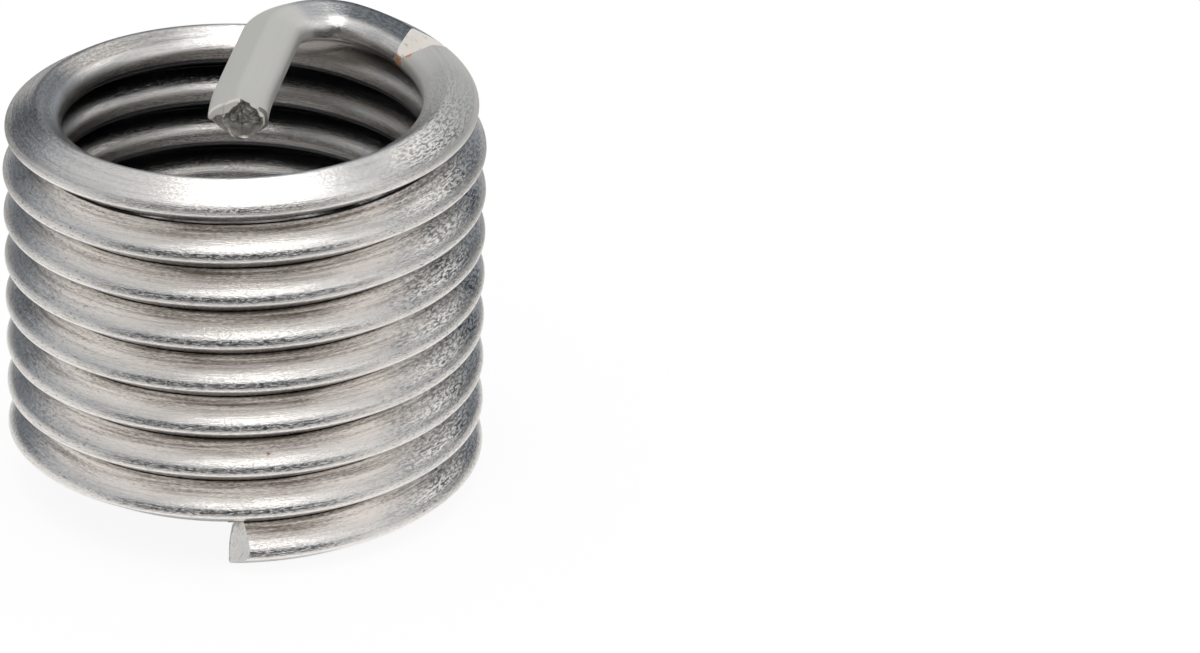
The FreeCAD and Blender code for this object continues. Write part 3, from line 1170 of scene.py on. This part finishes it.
    def torn_face(self, out: float, up: float, share: float) -> tuple[float, Slot]:
        """Shape of the tang's end at one place.

        Args:
            out: Distance from the middle of the end towards the outer side.
            up: Distance above the middle of the end.
            share: Share of the way in from the rim.

        Returns:
            How far the surface stands ahead, in millimetres, and its material slot.
        """
        wander = noise.noise(Vector((out * 6.0, up * 6.0, 1.7)))
        reach = math.hypot((out + 0.08) / 0.36, (up + 0.01) / 0.37) + 0.12 * wander
        inside_top = (0.40 - 0.55 * out - up) * 0.876
        lip = 0.065 + 0.085 * self.ease((out + 0.05) / 0.35) + 0.045 * wander
        if inside_top < lip and out > -0.10:
            return 0.022 + 0.010 * wander - 0.035 * self.ease((0.05 - share) / 0.05), Slot.SHEARED
        if reach > 1.0:
            rolled = min((reach - 1.0) / 0.5, 1.0)
            rim = 0.028 * math.exp(-(((reach - 1.03) / 0.05) ** 2))
            outer = self.ease((out - 0.05) / 0.1)
            beside = Slot.DRAWN if outer > 0.5 else Slot.TORN
            return rim - 0.075 * rolled - 0.01, Slot.SHEARED if reach < 1.08 - 0.03 * outer else beside
        rough = noise.fractal(Vector((out * 9.0, up * 9.0, 4.2)), 0.8, 2.2, 4)
        rough += 0.5 * noise.noise(Vector((out * 26.0, up * 26.0, 8.1)))
        smooth = self.ease((-up - 0.06) / 0.14)
        under = math.exp(-(((inside_top - lip - 0.05) / 0.06) ** 2)) * (1 - smooth)
        sunk = 0.045 * self.ease((1.02 - reach) / 0.16) * (1 - 0.5 * smooth) + 0.05 * under
        return -0.01 - sunk + 0.055 * rough * (1 - 0.8 * smooth), Slot.TORN

    @staticmethod
    def ordered(rim: list[bmesh.types.BMEdge]) -> list[bmesh.types.BMVert]:
        """The vertices of a closed rim in order.

        Args:
            rim: Its edges.

        Returns:
            Its vertices, from the first edge's first one.
        """
        beside: dict[bmesh.types.BMVert, list[bmesh.types.BMVert]] = {}
        for edge in rim:
            first, second = edge.verts
            beside.setdefault(first, []).append(second)
            beside.setdefault(second, []).append(first)
        ring, last = [rim[0].verts[0]], None
        while True:
            step = next(vertex for vertex in beside[ring[-1]] if vertex is not last)
            if step is ring[0]:
                return ring
            last = ring[-1]
            ring.append(step)

    def cutter(self, name: str, work: bmesh.types.BMesh, slot: Slot) -> bpy.types.Object:
        """A cutter with the finish that it leaves.

        Args:
            name: The cutter's name.
            work: Its closed shape, which is freed.
            slot: Its finish.

        Returns:
            The cutter as an object.
        """
        bmesh.ops.recalc_face_normals(work, faces=work.faces)
        mesh = bpy.data.meshes.new(name)
        work.to_mesh(mesh)
        work.free()
        mesh.materials.append(self.materials[slot])
        cutter = bpy.data.objects.new(name, mesh)
        bpy.context.scene.collection.objects.link(cutter)
        return cutter

    def notch_cutter(self) -> bpy.types.Object:
        """The wedge that leaves the notch.

        Returns:
            The cutter.
        """
        sizes = self.sizes
        bearing = sizes.bearing(sizes.notch_turns)
        place = Matrix((onward(bearing), outward(bearing), Vector((0, 0, 1)))).transposed().to_4x4()
        root, rise = sizes.notch_root, sizes.notch_depth + sizes.coil_gap
        steep, shallow = (
            rise * math.tan(math.radians(angle))
            for angle in (sizes.notch_steep_angle, sizes.notch_shallow_angle)
        )
        work = bmesh.new()
        for x, z in ((0.0, root), (steep, root + rise), (-shallow, root + rise)):
            for y in (sizes.bore_radius - sizes.wire_width, sizes.crest_radius + sizes.wire_width):
                work.verts.new(place @ Vector((x, y, z)) * MM)
        bmesh.ops.convex_hull(work, input=work.verts)
        return self.cutter("notch_cutter", work, Slot.SHEARED)

    def bevel_cutter(self) -> bpy.types.Object:
        """The body that leaves the slightly domed end and its ground bevel.

        Returns:
            The cutter.
        """
        place = self.sizes.axes(0.0)
        columns, rows = self.steps.end_columns, self.steps.end_rows
        work = bmesh.new()

        def sheet(level: float | None) -> list[list[bmesh.types.BMVert]]:
            """A grid of points across the wire.

            Args:
                level: Its place along the wire, or None for where the end is cut back to.

            Returns:
                The rows of points.
            """
            grid = []
            for up in (-0.9 + 1.355 * row / rows for row in range(rows + 1)):
                outs = [-0.9 + 0.06 * column for column in range(columns + 1)]
                levels = [self.end_level(out, up) if level is None else level for out in outs]
                points = (Vector((x, out, up)) for x, out in zip(levels, outs))
                grid.append([work.verts.new(place @ point * MM) for point in points])
            return grid

        front, rear = sheet(None), sheet(-2.0)
        for grid in (front, rear):
            for low, high in zip(grid, grid[1:]):
                for index in range(columns):
                    work.faces.new((low[index], low[index + 1], high[index + 1], high[index]))
        border = [(0, column) for column in range(columns + 1)]
        border += [(row, columns) for row in range(1, rows + 1)]
        border += [(rows, column) for column in range(columns - 1, -1, -1)]
        border += [(row, 0) for row in range(rows - 1, 0, -1)]
        for (row, column), (row_next, column_next) in zip(border, border[1:] + border[:1]):
            near, far = front[row][column], front[row_next][column_next]
            work.faces.new((near, far, rear[row_next][column_next], rear[row][column]))
        return self.cutter("bevel_cutter", work, Slot.GROUND)

    @staticmethod
    def end_level(out: float, up: float) -> float:
        """How far along the wire its plain end is cut back.

        Args:
            out: Distance outwards from the ridge line.
            up: Distance above the ridge line.

        Returns:
            Length in millimetres from where the wire starts.
        """
        bevel = 0.009 + 0.739 * out + 0.631 * up
        upper = 0.19 * (max(up + 0.05, 0.0) / 0.45) ** 2
        lower = 0.13 * (max(-up - 0.28, 0.0) / 0.15) ** 2
        return max(bevel, upper + lower + 0.003)

    @staticmethod
    def cut(piece: bpy.types.Object, cutter: bpy.types.Object) -> None:
        """Take a cutter's space out of a piece.

        Args:
            piece: The piece.
            cutter: The cutter, which is removed.
        """
        modifier = piece.modifiers.new("cut", "BOOLEAN")
        modifier.operation = "DIFFERENCE"
        modifier.solver = "EXACT"
        modifier.material_mode = "TRANSFER"
        modifier.object = cutter
        graph = bpy.context.evaluated_depsgraph_get()
        made = bpy.data.meshes.new_from_object(piece.evaluated_get(graph), depsgraph=graph)
        piece.modifiers.remove(modifier)
        piece.data = made
        bpy.data.objects.remove(cutter)

    @staticmethod
    def shade(mesh: bpy.types.Mesh, crease: float = math.radians(28)) -> None:
        """Smooth shading, with creases kept at sharp edges.

        Args:
            mesh: The mesh.
            crease: Least angle in radians of a sharp edge.
        """
        work = bmesh.new()
        work.from_mesh(mesh)
        for face in work.faces:
            face.smooth = True
        for edge in work.edges:
            edge.smooth = len(edge.link_faces) != 2 or edge.calc_face_angle(0.0) <= crease
        work.to_mesh(mesh)
        work.free()


# Studio


@dataclass(frozen=True)
class CameraSizes:
    """Where the camera stands, in millimetres and degrees."""

    distance: float = 124.99
    elevation: float = 26.4948
    azimuth: float = 0.26
    aim_height: float = 3.880
    yaw: float = 3.2638
    pitch: float = -0.3369
    roll: float = 0.2358
    lens: float = 186.42
    sensor: float = 36.0
    near: float = 5.0
    far: float = 10000.0


@dataclass(frozen=True)
class LampSizes:
    """The lamp overhead, in millimetres and watts."""

    width: float = 80.0
    depth: float = 104.0
    energy: float = 0.047
    place: tuple[float, float, float] = (0.0, -30.0, 125.0)


@dataclass(frozen=True)
class FloorSizes:
    """The floor and what the metal mirrors of it, in millimetres and shares of white."""

    half: float = 600.0
    paint: float = 0.9
    white_share: float = 0.9
    under_coil: Span = (4.8, 4.2)
    under_dimming: float = 0.85
    left: Span = (-12.0, -45.0)
    front_near: Span = (-8.0, -14.0)
    front_far: Span = (-22.0, -50.0)
    behind_near: Band = (8.0, 14.0, 28.0, 45.0)
    behind_far: Span = (12.0, 24.0)


@dataclass(frozen=True)
class Glow:
    """A soft patch of the surroundings that the metal mirrors.

    Along each axis of the direction it has the place where it starts and the place where it is full.
    """

    strength: float
    x: Span | None = None
    y: Span | None = None
    z: Span | None = None

    def field(self, direction: list[Field]) -> Field:
        """The patch's strength by direction.

        Args:
            direction: The three parts of the direction.

        Returns:
            The strength.
        """
        spans = [(part, span) for part, span in zip(direction, (self.x, self.y, self.z)) if span]
        shine = spans[0][0].step(*spans[0][1])
        for part, span in spans[1:]:
            shine = shine * part.step(*span)
        return shine * self.strength


class Studio:
    """Floor, surroundings, lamp and camera."""

    TOP = Glow(0.30, z=(0.30, 0.85))
    ZENITH = Glow(0.20, (0.25, 0.05), (-0.2, 0.1), (0.80, 0.90))
    OVERHEAD = (
        Glow(0.45, y=(-0.1, -0.5), z=(0.66, 0.82)),
        Glow(0.60, (0.38, 0.52), (0.08, -0.10), (0.48, 0.62)),
        Glow(0.60, (-0.38, -0.52), (0.08, -0.10), (0.48, 0.62)),
    )
    AROUND = (
        Glow(0.14, (-0.45, 0.45), (0.50, 0.80), (0.62, 0.35)),
        Glow(0.50, (-0.78, -0.93), z=(0.50, 0.25)),
        Glow(0.78, (0.37, 0.47), (0.15, 0.30), (0.45, 0.60)),
        Glow(0.22, (-0.26, -0.36), (0.12, 0.22), (0.40, 0.52)),
        Glow(0.55, (0.50, 0.70), (-0.05, -0.30), (0.75, 0.60)),
    )
    SHADES = (
        Glow(0.60, (0.50, 0.68), (0.30, 0.50), (0.50, 0.36)),
        Glow(0.94, (0.65, 0.35), (-0.2, -0.6), (0.80, 0.60)),
    )
    FAINTEST = 0.17
    DIM_TINT = (0.86, 0.97, 1.12)
    DIFFUSE_LIGHT = 0.92

    def build(self) -> None:
        """Set up the whole studio, with a plain view transform."""
        bpy.context.scene.view_settings.view_transform = "Standard"
        self.make_camera(CameraSizes())
        self.make_floor(FloorSizes())
        self.make_world()
        self.make_lamp(LampSizes())

    @staticmethod
    def make_camera(sizes: CameraSizes) -> None:
        """Stand the camera where the photograph was taken from.

        Args:
            sizes: Its place, turn and lens.
        """
        spin = Matrix.Rotation(math.radians(sizes.azimuth), 3, "Z")
        elevation = math.radians(sizes.elevation)
        ahead = spin @ Vector((0, math.cos(elevation), -math.sin(elevation)))
        place = ahead * -sizes.distance + Vector((0, 0, sizes.aim_height))
        right = spin @ Vector((1, 0, 0))
        up = right.cross(ahead)
        yaw = Matrix.Rotation(-math.radians(sizes.yaw), 3, up)
        ahead, right = yaw @ ahead, yaw @ right
        pitch = Matrix.Rotation(math.radians(sizes.pitch), 3, right)
        ahead, up = pitch @ ahead, pitch @ up
        roll = Matrix.Rotation(math.radians(sizes.roll), 3, ahead)
        right, up = roll @ right, roll @ up
        data = bpy.data.cameras.new("camera")
        data.lens, data.sensor_width = sizes.lens, sizes.sensor
        data.clip_start, data.clip_end = sizes.near * MM, sizes.far * MM
        camera = bpy.data.objects.new("camera", data)
        turned = Matrix((right, up, -ahead)).transposed().to_4x4()
        camera.matrix_world = Matrix.Translation(place * MM) @ turned
        bpy.context.scene.collection.objects.link(camera)
        bpy.context.scene.camera = camera

    @staticmethod
    def cleared(owner: bpy.types.Material | bpy.types.World) -> Nodes:
        """The emptied node tree of a material or a world."""
        owner.use_nodes = True
        owner.node_tree.nodes.clear()
        return Nodes(owner.node_tree)

    def make_floor(self, sizes: FloorSizes) -> None:
        """A pale floor that keeps the object's shadow, and that the metal mirrors partly shaded.

        Args:
            sizes: Its size, paint and shading.
        """
        work = bmesh.new()
        bmesh.ops.create_grid(work, x_segments=1, y_segments=1, size=sizes.half * MM)
        mesh = bpy.data.meshes.new("floor")
        work.to_mesh(mesh)
        work.free()
        floor = bpy.data.objects.new("floor", mesh)
        bpy.context.scene.collection.objects.link(floor)
        material = bpy.data.materials.new("floor_white")
        nodes = self.cleared(material)
        rays = nodes.add("ShaderNodeLightPath")
        camera, glossy, through = (
            Field(nodes, rays.outputs[name])
            for name in ("Is Camera Ray", "Is Glossy Ray", "Is Transmission Ray")
        )
        place = nodes.millimetres(nodes.add("ShaderNodeTexCoord").outputs["Object"])
        x, y = nodes.parts(place)[:2]
        under = nodes.length(place).step(*sizes.under_coil) * glossy
        front = y.step(*sizes.front_near) * 0.24 + y.step(*sizes.front_far) * 0.66
        shade_behind = y.band(*sizes.behind_near) * 0.45 + y.step(*sizes.behind_far) * 0.35
        shade = (x.step(*sizes.left) * 0.10).most(front).most(shade_behind) * glossy
        plain = nodes.add("ShaderNodeBsdfDiffuse", {"Color": (sizes.paint, sizes.paint, sizes.paint, 1)})
        white = nodes.add("ShaderNodeEmission", {"Color": WHITE, "Strength": shade.left()})
        share = camera.most(glossy).most(through) * sizes.white_share * under.left(sizes.under_dimming)
        mix = nodes.mixed(share, plain, white)
        nodes.add("ShaderNodeOutputMaterial", {"Surface": mix.outputs[0]})
        mesh.materials.append(material)

    def make_world(self) -> None:
        """White to the camera, and to the metal soft patches of light with a shaded front."""
        world = bpy.data.worlds.new("studio")
        bpy.context.scene.world = world
        nodes = self.cleared(world)
        rays = nodes.add("ShaderNodeLightPath")
        camera, glossy = (Field(nodes, rays.outputs[name]) for name in ("Is Camera Ray", "Is Glossy Ray"))
        direction = nodes.parts(nodes.add("ShaderNodeTexCoord").outputs["Generated"])
        level = self.TOP.field(direction) + self.ZENITH.field(direction)
        for glow in self.OVERHEAD:
            level = level.most(glow.field(direction))
        for glow in self.AROUND:
            level = level + glow.field(direction)
        level = level + self.FAINTEST
        for shade in self.SHADES:
            level = level * shade.field(direction).left()
        tint = nodes.blend(level.step(0.1, 0.9), self.DIM_TINT, WHITE[:3])
        tent = nodes.add("ShaderNodeBackground", {"Color": tint, "Strength": level})
        soft, plain = (
            nodes.add("ShaderNodeBackground", {"Color": WHITE, "Strength": strength})
            for strength in (self.DIFFUSE_LIGHT, 1.0)
        )
        whole = nodes.mixed(camera, nodes.mixed(glossy, soft, tent), plain)
        nodes.add("ShaderNodeOutputWorld", {"Surface": whole.outputs[0]})

    @staticmethod
    def make_lamp(sizes: LampSizes) -> None:
        """One wide soft lamp overhead.

        Args:
            sizes: Its size, place and power.
        """
        data = bpy.data.lights.new("overhead", "AREA")
        data.shape = "RECTANGLE"
        data.size, data.size_y = sizes.width * MM, sizes.depth * MM
        data.energy = sizes.energy
        lamp = bpy.data.objects.new("overhead", data)
        lamp.location = Vector(sizes.place) * MM
        lamp.visible_camera = False
        bpy.context.scene.collection.objects.link(lamp)


def main() -> None:
    """Dress the insert and set up the studio."""
    logging.basicConfig(level=logging.INFO, format="%(name)s: %(message)s")
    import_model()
    Studio().build()
    wire = InsertWire(WireSizes(), WireWear(), MeshSteps()).build()
    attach(wire, "root")
    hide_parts("insert_wire")
    LOG.info("%s: %d faces", wire.name, len(wire.data.polygons))


if __name__ == "__main__":
    main()
